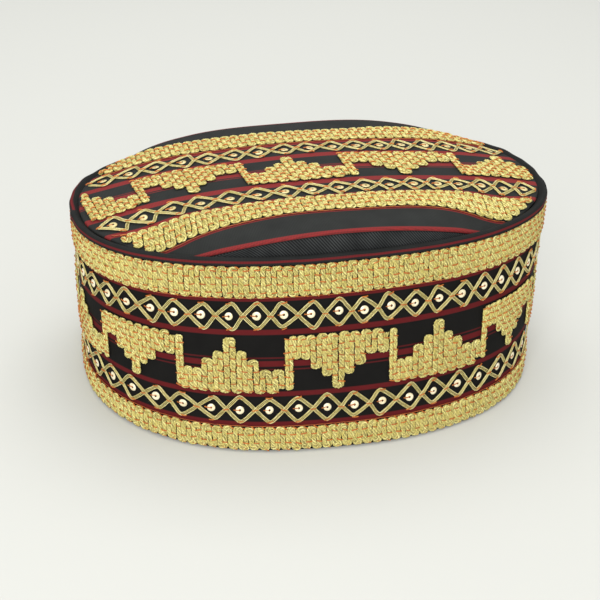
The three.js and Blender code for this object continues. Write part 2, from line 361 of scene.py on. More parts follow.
def makeWeave():  # ribs one way and finer threads the other way, on a UV map in metres
    inputs = {
        "Along": 0.0, "Across": 0.0, "Rib Size": 0.0007, "Thread Size": 0.0005, "Lean": 0.0, "Rib Share": 0.5}
    tree, given, result = newTree("weave", "ShaderNodeTree", inputs, ["Height"])
    leaning = calc(tree, "MULTIPLY_ADD", given["Across"], given["Lean"], given["Along"])
    ribs = sineOf(tree, calc(tree, "DIVIDE", leaning, given["Rib Size"]))
    threads = sineOf(tree, calc(tree, "DIVIDE", given["Across"], given["Thread Size"]))
    rest = calc(tree, "SUBTRACT", 1.0, given["Rib Share"])
    mixed = calc(tree, "MULTIPLY_ADD", ribs, given["Rib Share"], calc(tree, "MULTIPLY", threads, rest))
    tree.links.new(calc(tree, "MULTIPLY_ADD", mixed, 0.5, 0.5), result["Height"])
    return tree


def makeThreadTone():  # uneven tone along a thread, and small dark flecks
    inputs = {"Vector": "Vector", "Patch Size": 0.004, "Fleck Size": 0.0006, "Fleck Share": 0.35}
    tree, given, result = newTree("threadTone", "ShaderNodeTree", inputs, ["Tone", "Fleck"])
    for output, size, detail in (("Tone", "Patch Size", 2.0), ("Fleck", "Fleck Size", 1.0)):
        scale = calc(tree, "DIVIDE", 1.0, given[size])
        sockets = {"Vector": given["Vector"], "Scale": scale, "Detail": detail}
        value = addNode(tree, "ShaderNodeTexNoise", sockets).outputs["Fac"]
        if output == "Fleck":
            value = calc(tree, "SUBTRACT", given["Fleck Share"], value)
            value = calc(tree, "MULTIPLY", value, 9.0, clamp=True)
        tree.links.new(value, result[output])
    return tree


def makeThreadTwist():  # fine winding of metal round the thread
    inputs = {"Along": 0.0, "Around": 0.0, "Pitch": 0.0005}
    tree, given, result = newTree("threadTwist", "ShaderNodeTree", inputs, ["Height"])
    turns = calc(tree, "ADD", calc(tree, "DIVIDE", given["Along"], given["Pitch"]), given["Around"])
    tree.links.new(sineOf(tree, turns), result["Height"])
    return tree


stripeMask = makeStripeMask()
weave = makeWeave()
threadTone = makeThreadTone()
threadTwist = makeThreadTwist()


def newFinish(name, roughness, metallic=0.0):
    material = bpy.data.materials.new(name)
    material.use_nodes = True
    shader = material.node_tree.nodes["Principled BSDF"]
    shader.inputs["Roughness"].default_value = roughness
    shader.inputs["Metallic"].default_value = metallic
    return material, material.node_tree, shader


def groupNode(tree, group, sockets):
    return addNode(tree, "ShaderNodeGroup", sockets, node_tree=group)


def mixColour(tree, factor, first, second):
    return addNode(tree, "ShaderNodeMix", {0: factor, 6: first, 7: second}, data_type="RGBA").outputs[2]


def objectPlace(tree):
    return tree.nodes.new("ShaderNodeTexCoord").outputs["Object"]


def uvParts(tree, name):
    parts = addNode(tree, "ShaderNodeSeparateXYZ", {0: outputOf(tree, "ShaderNodeUVMap", uv_map=name)})
    return parts.outputs["X"], parts.outputs["Y"]


def attributeValue(tree, name):
    return addNode(tree, "ShaderNodeAttribute", attribute_name=name).outputs["Fac"]


def bump(tree, shader, height, strength, distance):
    sockets = {"Height": height, "Strength": strength, "Distance": distance}
    tree.links.new(outputOf(tree, "ShaderNodeBump", sockets), shader.inputs["Normal"])


# Thread finishes

threadColours = {
    "gold": (0.96, 0.9, 0.39, 1),
    "goldDeep": (0.71, 0.61, 0.17, 1),
    "goldFleck": (0.3, 0.22, 0.045, 1),
    "braid": (0.8, 0.73, 0.36, 1),
    "braidDeep": (0.5, 0.42, 0.13, 1),
    "orange": (0.58, 0.18, 0.016, 1),
    "orangeDeep": (0.4, 0.1, 0.01, 1),
    "edge": (0.3, 0.05, 0.015, 1),
    "foil": (0.93, 0.86, 0.66, 1),
    "foilDeep": (0.78, 0.66, 0.4, 1),
    "dullFoil": (0.7, 0.6, 0.32, 1),
    "dullFoilDeep": (0.5, 0.4, 0.15, 1),
}
threadPatch = {"Patch Size": 1.6 * mm, "Fleck Size": 0.55 * mm}


def threadFinish(name, light, deep, roughness, metallic=0.0, fleck=0.0, pitch=0.0, twistDepth=0.0):
    material, tree, shader = newFinish(name, roughness, metallic)
    tone = groupNode(tree, threadTone, {"Vector": objectPlace(tree), "Fleck Share": fleck, **threadPatch})
    contrast = calc(tree, "MULTIPLY_ADD", tone.outputs["Tone"], 3.0, -1.0, clamp=True)
    colour = mixColour(tree, contrast, threadColours[deep], threadColours[light])
    if fleck:  # every second strand is darker in places, which shows the twist
        second = calc(tree, "MODULO", attributeValue(tree, "strand"), 2.0)
        shade = calc(tree, "MULTIPLY_ADD", tone.outputs["Tone"], 2.0, -0.5, clamp=True)
        darker = calc(tree, "MULTIPLY", second, shade)
        marks = calc(tree, "MAXIMUM", tone.outputs["Fleck"], darker)
        colour = mixColour(tree, marks, colour, threadColours["goldFleck"])
    tree.links.new(colour, shader.inputs["Base Color"])
    if twistDepth:
        along, around = (attributeValue(tree, label) for label in ("along", "around"))
        sockets = {"Along": along, "Around": around, "Pitch": pitch}
        bump(tree, shader, groupNode(tree, threadTwist, sockets).outputs["Height"], 0.6, twistDepth)
    return material


goldThread = threadFinish("goldThread", "gold", "goldDeep", 0.42, 0.2, 0.42, 0.55 * mm, 0.06 * mm)
braidThread = threadFinish("braidThread", "braid", "braidDeep", 0.36, 0.25, 0.36, 0.45 * mm, 0.03 * mm)
orangeThread = threadFinish("orangeThread", "orange", "orangeDeep", 0.5)
edgeThread = threadFinish("edgeThread", "orangeDeep", "edge", 0.55)
sequinFoil = threadFinish("sequinFoil", "foil", "foilDeep", 0.28, 0.2)
dullSequinFoil = threadFinish("dullSequinFoil", "dullFoil", "dullFoilDeep", 0.45, 0.2)

# Cloth finishes

clothColours = {
    # the second colour of each cloth is a painted sheen: the lighter tone of the raised ribs where they catch
    # the light
    "wall": (0.0035, 0.0033, 0.003, 1),
    "wallPaintedSheen": (0.012, 0.011, 0.01, 1),
    "wallRed": (0.13, 0.009, 0.011, 1),
    "rim": (0.008, 0.0085, 0.0085, 1),
    "rimPaintedSheen": (0.026, 0.027, 0.026, 1),
    "rimRed": (0.16, 0.011, 0.014, 1),
    # the crown's cloth is greyer than the wall's: a sheen painted in where its nap catches the light
    "crown": (0.014, 0.015, 0.0145, 1),
    "crownPaintedSheen": (0.038, 0.04, 0.038, 1),
    "crownRed": (0.26, 0.024, 0.024, 1),
    "twill": (0.005, 0.0055, 0.006, 1),
    "twillPaintedSheen": (0.085, 0.09, 0.09, 1),
}
clothShine = 0.12  # the share of the usual surface reflection that matte cloth keeps
clothPatch = {"Patch Size": 9 * mm, "Fleck Size": 0.5 * mm, "Fleck Share": 0.4}
stripeSoftness = 0.35 * mm


def clothFinish(name, colours, stripes, ribSize, threadSize, depth, lean=0.0, ribShare=0.5):
    plain, paintedSheen, red = (clothColours[colour] for colour in colours)
    material, tree, shader = newFinish(name, 0.82)
    shader.inputs["Specular IOR Level"].default_value = clothShine
    along, across = uvParts(tree, "cloth")
    height = groupNode(tree, weave, {
        "Along": along, "Across": across, "Rib Size": ribSize, "Thread Size": threadSize,
        "Lean": lean, "Rib Share": ribShare}).outputs["Height"]
    tone = groupNode(tree, threadTone, {"Vector": objectPlace(tree), **clothPatch}).outputs["Tone"]
    # painted sheen: the tops of the ribs are lighter, in random patches
    colour = mixColour(tree, calc(tree, "MULTIPLY", height, tone, clamp=True), plain, paintedSheen)
    for mapName, centre, half, strength in stripes:
        sockets = {"Centre": centre, "Half Width": half, "Softness": stripeSoftness}
        sockets["Position"] = across if mapName == "cloth" else uvParts(tree, mapName)[1]
        mask = groupNode(tree, stripeMask, sockets).outputs["Mask"]
        grain = calc(tree, "MULTIPLY_ADD", height, 0.7, 0.35, clamp=True)
        shown = calc(tree, "MULTIPLY", calc(tree, "MULTIPLY", mask, grain), strength)
        colour = mixColour(tree, shown, colour, red)
    tree.links.new(colour, shader.inputs["Base Color"])
    bump(tree, shader, height, 0.5, depth)
    return material


def between(low, high, strength=1.0, mapName="cloth"):
    return mapName, (low + high) / 2, (high - low) / 2, strength


stepMiddle = (wallZones["steps"][0] + wallZones["steps"][1]) / 2
wallStripes = [
    between(wallZones["baseBand"][1] + 0.1 * mm, wallZones["lowerLattice"][0]),
    between(wallZones["lowerLattice"][1] - 0.1 * mm, wallZones["steps"][0] + 0.2 * mm),
    between(stepMiddle - 1.2 * mm, stepMiddle + 1.2 * mm),
    between(stepMiddle - 2.7 * mm, stepMiddle - 2.15 * mm, 0.8),
    between(stepMiddle + 2.15 * mm, stepMiddle + 2.7 * mm, 0.8),
    between(wallZones["steps"][1] + 0.1 * mm, wallZones["upperLattice"][0] - 0.3 * mm),
    between(wallZones["upperLattice"][1], wallZones["topBand"][0]),
]
rimStripes = [between(1.0 * mm, 1.9 * mm)]
crownStripes = [between(-1.5 * mm, 1.5 * mm)]
for side in (-1, 1):
    for low, high, strength in (
        (2.3 * mm, 2.9 * mm, 0.8),
        (crownZones["steps"] - 0.3 * mm, crownZones["lattice"][0] + 0.3 * mm, 1.0),
        (crownZones["lattice"][1] - 0.4 * mm, crownZones["band"][0] + 0.5 * mm, 1.0),
        (stripHalf + 0.2 * mm, stripHalf + 1.1 * mm, 0.9),
    ):
        crownStripes.append(between(*sorted((side * low, side * high)), strength))
crownStripes.append(between(-0.5 * mm, 1.3 * mm, 1.0, "ridge"))

wallColours = ("wall", "wallPaintedSheen", "wallRed")
rimColours = ("rim", "rimPaintedSheen", "rimRed")
crownColours = ("crown", "crownPaintedSheen", "crownRed")
twillColours = ("twill", "twillPaintedSheen", "wallRed")
wallCloth = clothFinish("wallCloth", wallColours, wallStripes, 0.42 * mm, 0.5 * mm, 0.05 * mm)
rimCloth = clothFinish("rimCloth", rimColours, rimStripes, 0.6 * mm, 0.6 * mm, 0.06 * mm)
crownCloth = clothFinish("crownCloth", crownColours, crownStripes, 0.6 * mm, 0.55 * mm, 0.06 * mm)
gussetTwill = clothFinish("gussetTwill", twillColours, [], 1.2 * mm, 0.6 * mm, 0.2 * mm, 0.75, 0.9)

# Side band: the cloth wall, a closed ring with rounded edges

wallMesh = {"around": 360, "up": 34, "edge": 5}


def ringShell(name, section, around, place, shown, finish, slotName, node):
    # section holds (out, up, length along it). The UV of the faces past the shown ones lies off the stripes.
    count = len(section)
    points = [place(i / around, up, out) for i in range(around) for out, up, _ in section]
    faces, corners = [], []
    for i in range(around):
        u0, u1 = i / around * girth, (i + 1) / around * girth
        a, b = i * count, ((i + 1) % around) * count
        for k in range(count):
            n = (k + 1) % count
            faces.append((a + k, b + k, b + n, a + n))
            shift = 0 if k < shown else 1
            v0 = section[k][2] + shift
            v1 = section[n][2] + shift if n else v0 + mm
            corners += [(u0, v0), (u1, v0), (u1, v1), (u0, v1)]
    return clothPiece(name, points, faces, {"cloth": corners}, finish, slotName, node)


def makeSideBand():
    top = wallHeight - rim["crest"] - gap
    half = cap["wallThickness"] / 2
    rows, edge = wallMesh["up"], wallMesh["edge"]
    levels = [half + (top - 2 * half) * k / rows for k in range(rows + 1)]
    section = [(wallFace, up, up) for up in levels]
    for k in range(1, edge):
        a = math.pi * k / edge
        section.append((wallMiddle + half * math.cos(a), top - half + half * math.sin(a), top + k * 0.5 * mm))
    section += [(wallInner, up, up) for up in reversed(levels)]
    for k in range(1, edge):
        a = math.pi * (1 + k / edge)
        section.append((wallMiddle + half * math.cos(a), half + half * math.sin(a), half))
    piece = ringShell(
        "sideBand", section, wallMesh["around"], wallPoint, rows, wallCloth, "black_cloth", "side_band")


# Top rim: the folded binding, a closed ring with a rounded crest and an overlapped seam

rimMesh = {
    "around": 420,
    "face": 0.1 * mm,  # how far its outer face stands proud of the embroidery
    "crestSteps": 9,
    "crestRadius": 1.3 * mm,
    "crestDrop": 0.7 * mm,
    "crestTurn": math.radians(125),
    "slopeFoot": 2.9 * mm,
    "overCrest": 3 * mm,  # cloth that the crest takes up
    "shortRound": 0.94,  # the rim is shorter round than the wall's middle
}


def rimPlace(turn, up, out):
    past = (turn - rim["seamTurn"]) % 1
    fade = max(0.0, 1 - past / rim["seamLength"])
    lap = rim["seamStep"] * min(1.0, fade * 3) if past < rim["seamLength"] else 0.0
    widen = lap if out > wallMiddle else 0.0
    raised = lap if up > wallHeight - rim["crest"] else 0.0
    ripple = waves(rimWaves, math.tau * turn)
    return wallPoint(turn, up, out + widen + ripple) + Vector((0, 0, raised + ripple))


def makeTopRim():
    radius, thick, face = rimMesh["crestRadius"], rim["thickness"], rimMesh["face"]
    crestOut, crestUp = face - radius, wallHeight - rimMesh["crestDrop"] - radius
    slopeFoot = wallHeight - rimMesh["slopeFoot"]
    innerTop = slopeFoot - thick * 0.4
    section = [(face, wallHeight - rim["outside"], 0.0)]

    def add(out, up):
        beforeOut, beforeUp, length = section[-1]
        section.append((out, up, length + math.hypot(out - beforeOut, up - beforeUp)))

    def drawTo(out, up, steps):
        startOut, startUp, _ = section[-1]
        for k in range(1, steps + 1):
            add(startOut + (out - startOut) * k / steps, startUp + (up - startUp) * k / steps)

    drawTo(face, crestUp, 5)
    for k in range(1, rimMesh["crestSteps"] + 1):
        a = rimMesh["crestTurn"] * k / rimMesh["crestSteps"]
        add(crestOut + radius * math.cos(a), crestUp + radius * math.sin(a))
    drawTo(rimInner, slopeFoot, 4)
    drawTo(rimInner, wallHeight - rim["inside"], 7)
    shown = len(section) - 1
    drawTo(rimInner + thick, wallHeight - rim["inside"], 1)
    drawTo(rimInner + thick, innerTop, 7)
    drawTo(-thick, wallHeight - rim["crest"], 5)
    drawTo(-thick, wallHeight - rim["outside"], 4)
    piece = ringShell(
        "topRim", section, rimMesh["around"], rimPlace, shown, rimCloth, "binding_cloth", "top_rim")
    shiftSeamStripe(piece)


def shiftSeamStripe(piece):  # behind the seam the stripe lies higher
    for loop in piece.data.uv_layers["cloth"].data:
        before = (rim["seamTurn"] - loop.uv[0] / girth) % 1
        if before < rim["rollFade"]:
            share = 1 - before / rim["rollFade"]
            loop.uv[1] = (loop.uv[1] - rim["seamRoll"] * share) / (1 + 0.5 * share)


# Crown panel: the arched top, closed below, with rounded edges that overhang the gussets as ridges

crownMesh = {"around": 300, "rings": 40, "ringPower": 0.8, "edge": 6, "under": 12, "areaShare": 0.82}


def crownOverhang(x):
    share = abs(x) / (crown["ridgeReach"] * crownHalfLength)
    return crown["ridgeOverhang"] * max(0.0, 1 - share * share) + crown["rimLap"] * ease(share, 0.8, 1.05)


def makeCrownPanel():
    count, rings, thick = crownMesh["around"], crownMesh["rings"], crown["thickness"]
    half = thick / 2
    edges = []
    for i in range(count):
        plain = outlinePoint(wallHeight, angleAt(i / count), crownInset)
        edges.append(outlinePoint(wallHeight, angleAt(i / count), crownInset + crownOverhang(plain.x)))
    profile = [((k / rings) ** crownMesh["ringPower"], 0.0, 0.0) for k in range(1, rings)]
    for k in range(crownMesh["edge"] + 1):  # the rounded edge, drawn in by its radius
        a = math.pi / 2 - math.pi * k / crownMesh["edge"]
        profile.append((1.0, half * (math.cos(a) - 1), half * (math.sin(a) - 1)))
    profile += [(1 - k / crownMesh["under"], 0.0, -thick) for k in range(1, crownMesh["under"])]
    points, across, ridge = [], [], []
    for share, inset, drop in profile:
        for edge in edges:
            plan = edge.xy.length
            scale = share * (1 + inset / plan)
            x, y = edge.x * scale, edge.y * scale
            points.append((x, y, crownHeight(x, y) + drop))
            hidden = 1 if drop < -0.6 * thick else 0
            across.append((x, y - crownSkew(x) + hidden))
            free = abs(x) < crown["ridgeStripeReach"] * crownHalfLength
            ridge.append((x, (plan * (1 - scale) + abs(drop) * 0.9) if free else 1.0))
    centreTop, centreUnder = len(points), len(points) + 1
    points += [(0, 0, crownHeight(0, 0)), (0, 0, crownHeight(0, 0) - thick)]
    across += [(0, 0), (0, 1)]
    ridge += [(0, 1), (0, 1)]
    faces = []
    last = (len(profile) - 1) * count
    for i in range(count):
        n = (i + 1) % count
        faces.append((centreTop, i, n))
        for a in range(0, last, count):
            b = a + count
            faces.append((a + i, b + i, b + n, a + n))
        faces.append((centreUnder, last + n, last + i))
    maps = {
        "cloth": [across[v] for face in faces for v in face],
        "ridge": [ridge[v] for face in faces for v in face],
    }
    piece = clothPiece("crownPanel", points, faces, maps, crownCloth, "crown_cloth", "crown_panel")


# Gussets: the twill strips between the ridges and the rim

gusset = {"thickness": 1.4 * mm, "tuck": 7 * mm, "height": 14 * mm, "reach": 0.62, "along": 90, "up": 16}


def underCrown(point):
    return crownHeight(point.x, point.y) - crown["thickness"] - gap


def onGusset(side, u, v, out):
    angle = side * math.acos(signedPower(u, outlinePower / 2))
    foot = outlinePoint(wallHeight - gusset["tuck"], angle, crownInset + out)
    level = outlinePoint(wallHeight, angle, crownInset + out)
    head = outlinePoint(wallHeight + underCrown(level) - level.z, angle, crownInset + out)
    head.z = underCrown(head)
    return foot.lerp(head, v)


def makeGusset(name, node, side):
    columns, rows = gusset["along"], gusset["up"]
    points, uvs = [], []
    for out in (0.0, -gusset["thickness"]):
        for i in range(columns + 1):
            u = gusset["reach"] * (2 * i / columns - 1)
            for k in range(rows + 1):
                points.append(onGusset(side, u, k / rows, out))
                uvs.append((u * crownHalfLength, k / rows * gusset["height"]))
    width = rows + 1
    under = (columns + 1) * width
    faces = []
    for i in range(columns):
        for k in range(rows):
            a = i * width + k
            outer = (a, a + width, a + width + 1, a + 1)
            faces += [outer, tuple(under + n for n in reversed(outer))]
    edge = [i * width for i in range(columns + 1)]
    edge += [columns * width + k for k in range(1, rows + 1)]
    edge += [i * width + rows for i in range(columns - 1, -1, -1)]
    edge += list(range(rows - 1, 0, -1))
    faces += [(b, a, a + under, b + under) for a, b in zip(edge, edge[1:] + edge[:1])]
    if side > 0:
        faces = [tuple(reversed(face)) for face in faces]
    maps = {"cloth": [uvs[v] for face in faces for v in face]}
    piece = clothPiece(name, points, faces, maps, gussetTwill, "twill_cloth", node)


# What the node trees share

def namedVector(tree, name):
    node = addNode(tree, "GeometryNodeInputNamedAttribute", {"Name": name}, data_type="FLOAT_VECTOR")
    return node.outputs["Attribute"]


def storeValue(tree, geometry, name, value):
    sockets = {"Geometry": geometry, "Name": name, "Value": value}
    return outputOf(tree, "GeometryNodeStoreNamedAttribute", sockets, data_type="FLOAT", domain="POINT")


def seededNoise(tree, place, seed, scale, detail):
    sockets = {"Vector": place, "W": seed, "Scale": scale, "Detail": detail}
    return addNode(tree, "ShaderNodeTexNoise", sockets, noise_dimensions="4D")


def circle(tree, corners, radius):
    return outputOf(tree, "GeometryNodeCurvePrimitiveCircle", {"Resolution": corners, "Radius": radius})


def joined(tree, **parts):  # a vector from its X, Y and Z
    return outputOf(tree, "ShaderNodeCombineXYZ", parts)


def smoothTube(tree, path, profile, caps=True):
    sockets = {"Curve": path, "Profile Curve": profile, "Fill Caps": caps}
    tube = outputOf(tree, "GeometryNodeCurveToMesh", sockets)
    return outputOf(tree, "GeometryNodeSetShadeSmooth", {0: tube})


def finishTree(tree, given, result, geometry):
    whole = outputOf(tree, "GeometryNodeRealizeInstances", {0: geometry})
    sockets = {"Geometry": whole, "Material": given["Finish"]}
    tree.links.new(outputOf(tree, "GeometryNodeSetMaterial", sockets), result["Geometry"])
    return tree


# Node tree: a bundle of threads along a path, twisted together or side by side

def makeThreadBundle():
    inputs = {
        "Geometry": "Geometry", "Strands": 3, "Strand Radius": 0.0004, "Sides": 5,
        "Twist Across": 0.0, "Twist Out": 0.0, "Twist Length": 0.005, "Side Gap": 0.0,
        "Waver": 0.0, "Seed": 1, "Finish": "Material",
    }
    tree, given, result = newTree("threadBundle", "GeometryNodeTree", inputs, ["Geometry"])
    path = outputOf(tree, "GeometryNodeMeshToCurve", {0: given["Geometry"]})
    sockets = {"Geometry": path, "Amount": given["Strands"]}
    copies = addNode(tree, "GeometryNodeDuplicateElements", sockets, domain="SPLINE")
    strand = copies.outputs["Duplicate Index"]
    length = tree.nodes.new("GeometryNodeSplineParameter").outputs["Length"]
    outward = namedVector(tree, "outward")
    tangent = outputOf(tree, "GeometryNodeInputTangent")
    across = vectorCalc(tree, "NORMALIZE", vectorCalc(tree, "CROSS_PRODUCT", tangent, outward))
    share = calc(tree, "DIVIDE", strand, given["Strands"])
    place = outputOf(tree, "GeometryNodeInputPosition")
    slow = seededNoise(tree, place, given["Seed"], 160.0, 0.0).outputs[0]
    turns = calc(tree, "ADD", calc(tree, "DIVIDE", length, given["Twist Length"]), share)
    angle = calc(tree, "MULTIPLY", calc(tree, "ADD", turns, slow), math.tau)
    spread = addNode(tree, "ShaderNodeSeparateXYZ", {0: namedVector(tree, "spread")}).outputs["X"]
    wide = calc(tree, "MULTIPLY", given["Twist Across"], spread)
    sideways = calc(tree, "MULTIPLY", calc(tree, "COSINE", angle), wide)
    lifted = calc(tree, "MULTIPLY", calc(tree, "SINE", angle), given["Twist Out"])
    last = calc(tree, "SUBTRACT", given["Strands"], 1.0)
    centred = calc(tree, "SUBTRACT", strand, calc(tree, "MULTIPLY", last, 0.5))
    sideways = calc(tree, "MULTIPLY_ADD", centred, given["Side Gap"], sideways)
    quick = seededNoise(tree, place, calc(tree, "ADD", given["Seed"], strand), 420.0, 1.0).outputs[1]
    waver = scaled(tree, vectorCalc(tree, "SUBTRACT", quick, (0.5, 0.5, 0.5)), given["Waver"])
    offset = vectorCalc(tree, "ADD", scaled(tree, across, sideways), scaled(tree, outward, lifted))
    sockets = {"Geometry": copies.outputs["Geometry"], "Offset": vectorCalc(tree, "ADD", offset, waver)}
    marked = storeValue(tree, outputOf(tree, "GeometryNodeSetPosition", sockets), "along", length)
    marked = storeValue(tree, marked, "strand", strand)
    around = calc(tree, "DIVIDE", outputOf(tree, "GeometryNodeInputIndex"), given["Sides"])
    profile = storeValue(tree, circle(tree, given["Sides"], given["Strand Radius"]), "around", around)
    return finishTree(tree, given, result, smoothTube(tree, marked, profile))


# Node trees: stitches and sequins on marked points

scatterInputs = {
    "Geometry": "Geometry", "Tilt": 0.05, "Turn": 0.2, "Size Spread": 0.12, "Seed": 1, "Finish": "Material"}


def scatter(tree, given, result, shape):  # a copy on each point, turned and sized a little by chance
    sockets = {0: namedVector(tree, "outward"), 1: namedVector(tree, "heading")}
    facing = outputOf(tree, "FunctionNodeAxesToRotation", sockets, primary_axis="Z", secondary_axis="X")
    limit = joined(tree, X=given["Tilt"], Y=given["Tilt"], Z=given["Turn"])
    sockets = {"Min": scaled(tree, limit, -1.0), "Max": limit, "Seed": given["Seed"]}
    nudge = outputOf(tree, "FunctionNodeRandomValue", sockets, data_type="FLOAT_VECTOR")
    turned = outputOf(tree, "FunctionNodeRotateRotation", {0: facing, 1: nudge}, rotation_space="LOCAL")
    smallest = calc(tree, "SUBTRACT", 1.0, given["Size Spread"])
    sockets = {2: smallest, 3: calc(tree, "ADD", 1.0, given["Size Spread"]), "Seed": given["Seed"]}
    size = addNode(tree, "FunctionNodeRandomValue", sockets, data_type="FLOAT").outputs[1]
    sockets = {"Points": given["Geometry"], "Instance": shape, "Rotation": turned, "Scale": size}
    return finishTree(tree, given, result, outputOf(tree, "GeometryNodeInstanceOnPoints", sockets))


def makeStitchScatter():
    inputs = {**scatterInputs, "Length": 0.0022, "Thickness": 0.0004, "Bow": 0.0004}
    tree, given, result = newTree("stitchScatter", "GeometryNodeTree", inputs, ["Geometry"])
    half = calc(tree, "MULTIPLY", given["Length"], 0.5)
    drop = calc(tree, "MULTIPLY", given["Bow"], -1.0)
    arc = outputOf(tree, "GeometryNodeCurveQuadraticBezier", {
        "Resolution": 3,
        "Start": joined(tree, X=calc(tree, "MULTIPLY", half, -1.0), Z=drop),
        "Middle": joined(tree, Z=given["Bow"]),
        "End": joined(tree, X=half, Z=drop),
    })
    profile = circle(tree, 4, calc(tree, "MULTIPLY", given["Thickness"], 0.5))
    return scatter(tree, given, result, smoothTube(tree, arc, profile))


def makeSequinScatter():
    inputs = {
        **scatterInputs, "Outer Radius": 0.0019, "Hole Radius": 0.0004, "Thickness": 0.0003, "Cup": 0.15}
    tree, given, result = newTree("sequinScatter", "GeometryNodeTree", inputs, ["Geometry"])
    middle = calc(tree, "MULTIPLY", calc(tree, "ADD", given["Outer Radius"], given["Hole Radius"]), 0.5)
    width = calc(tree, "SUBTRACT", given["Outer Radius"], given["Hole Radius"])
    squash = joined(tree, X=1.0, Y=calc(tree, "DIVIDE", given["Thickness"], width), Z=1.0)
    oval = circle(tree, 8, calc(tree, "MULTIPLY", width, 0.5))
    sockets = {"Geometry": oval, "Scale": squash, "Rotation": joined(tree, Z=given["Cup"])}
    cupped = outputOf(tree, "GeometryNodeTransform", sockets)
    return scatter(tree, given, result, smoothTube(tree, circle(tree, 18, middle), cupped, caps=False))


threadBundle = makeThreadBundle()
stitchScatter = makeStitchScatter()
sequinScatter = makeSequinScatter()

# Couching: a bundle of gold cord laid in loops, up and down each column, tied by short stitches

couching = {
    "strands": 6,
    "strandRadius": 0.35 * mm,
    "sides": 3,
    "twistAcross": 0.93 * mm,  # for a pass of the usual width
    "twistOut": 0.3 * mm,
    "twistLength": 5.6 * mm,
    "waver": 0.56 * mm,
    "pinch": 0.34,  # how much narrower a pass is under a stitch
    "pinchDepth": 0.2 * mm,
    "pinchReach": 1.0 * mm,
    "depth": -0.5 * mm,  # the middle of the bundle, in from the embroidered face
    "halfBundle": 1.0 * mm,
    "halfPass": 1.09 * mm,
    "pointGap": 0.9 * mm,
    "bow": 0.16 * mm,
    "squareness": 0.6,  # of the loops: 1 is round, less is squarer
    "bendSteps": 6,
    "sweep": 0.6 * mm,  # how far the loops lean along the base edge
    "sweepHeight": 3.2 * mm,
    "uneven": 0.3 * mm,
    "loopWidth": 4.36 * mm,
}
stitching = {
    "length": 2.4 * mm,
    "thickness": 0.54 * mm,
    "bow": 0.4 * mm,
    "lift": 0.26 * mm,
    "rowGap": 5.3 * mm,  # between the stitches of one pass of a figure
    "firstRow": 0.26,  # shares of that gap
    "rowShift": 0.5,
    "lastRow": 0.2,
    "mostRows": 8,
    "baseInset": 0.7 * mm,  # of the stitches between the loops, from the wall bands' edges
    "topInset": 0.6 * mm,
    "edgeDepth": -0.25 * mm,
    "edgeLean": -0.5,
}


def loopPath(columns, chance, rows=None):
    # columns hold (left, right, low, high), and rows the two passes' stitch heights as shares of the column.
    # Gives the path's (along, up, out, spread), drawn in at each stitch, and the stitches' (along, up).
    path, ties = [], []

    def swept(along, up, low):
        height = max(0.0, 1 - (up - low) / couching["sweepHeight"])
        return along + couching["sweep"] * height * height

    def bend(start, end, level, rise, low, spread):
        for k in range(1, couching["bendSteps"]):
            a = math.pi * k / couching["bendSteps"]
            along = (start + end) / 2 - (end - start) / 2 * signedPower(math.cos(a), couching["squareness"])
            up = level + rise * math.sin(a) ** couching["squareness"]
            path.append((swept(along, up, low), up, couching["depth"], spread))

    def stitchLevels(low, high, side):
        if rows:
            return [low + (high - low) * share for share in rows[side]]
        rowGap = stitching["rowGap"]
        first = low + (stitching["firstRow"] + stitching["rowShift"] * side) * rowGap
        levels = [first + rowGap * k for k in range(stitching["mostRows"])]
        return [level for level in levels if level < high - stitching["lastRow"] * rowGap]

    for n, (left, right, low, high) in enumerate(columns):
        quarter = (right - left) / 4
        spread = quarter / couching["halfPass"]
        rise = 0.8 * quarter
        margin = couching["halfBundle"] + rise
        top = high - margin + chance.uniform(-1, 0.5) * couching["uneven"]
        bottom = low + margin + chance.uniform(-0.5, 1) * couching["uneven"]
        if top < bottom:
            top = bottom = (top + bottom) / 2
        for side in (0, 1):
            levels = [level + chance.uniform(-0.3, 0.3) * mm for level in stitchLevels(low, high, side)]
            middle = left + quarter if side == 0 else right - quarter
            middle += chance.uniform(-0.06, 0.06) * mm
            bow = chance.uniform(-1, 1) * couching["bow"]
            count = max(1, round((top - bottom) / couching["pointGap"]))
            for k in range(count + 1):
                share = k / count if side == 0 else 1 - k / count
                up = bottom + (top - bottom) * share
                closeness = [math.exp(-((up - level) / couching["pinchReach"]) ** 2) for level in levels]
                pinch = max(closeness, default=0)
                along = swept(middle + bow * math.sin(math.pi * share), up, low)
                out = couching["depth"] - couching["pinchDepth"] * pinch
                path.append((along, up, out, spread * (1 - couching["pinch"] * pinch)))
            ties += [(swept(middle, level, low), level) for level in levels]
            if side == 0:
                bend(left + quarter, right - quarter, top, rise, low, spread)
            elif n < len(columns) - 1:
                nextLeft, nextRight = columns[n + 1][:2]
                bend(right - quarter, nextLeft + (nextRight - nextLeft) / 4, bottom, -rise, low, spread)
    return path, ties


def layCord(name, paths, closed, place, slotName, nodes, seed, values=None, finish=None):
    # paths hold (along, up, out) points, with how widely the strands spread there as an optional fourth value
    points, outwards, spreads, edges = [], [], [], []
    for path in paths:
        first = len(points)
        for along, up, out, *spread in path:
            point, outward = place(along, up, out)
            points.append(point)
            outwards.append(outward)
            spreads.append((spread[0] if spread else 1.0, 0, 0))
        edges += [(first + i, first + i + 1) for i in range(len(path) - 1)]
        if closed:
            edges.append((len(points) - 1, first))
    source = attributeMesh(name, points, edges, {"outward": outwards, "spread": spreads})
    settings = {
        "Strands": couching["strands"], "Strand Radius": couching["strandRadius"], "Sides": couching["sides"],
        "Twist Across": couching["twistAcross"], "Twist Out": couching["twistOut"],
        "Twist Length": couching["twistLength"], "Waver": couching["waver"], "Seed": seed,
        "Finish": finish or goldThread,
    }
    settings.update(values or {})
    return ridesOn(runTree(name, source, threadBundle, settings), slotName, *nodes)


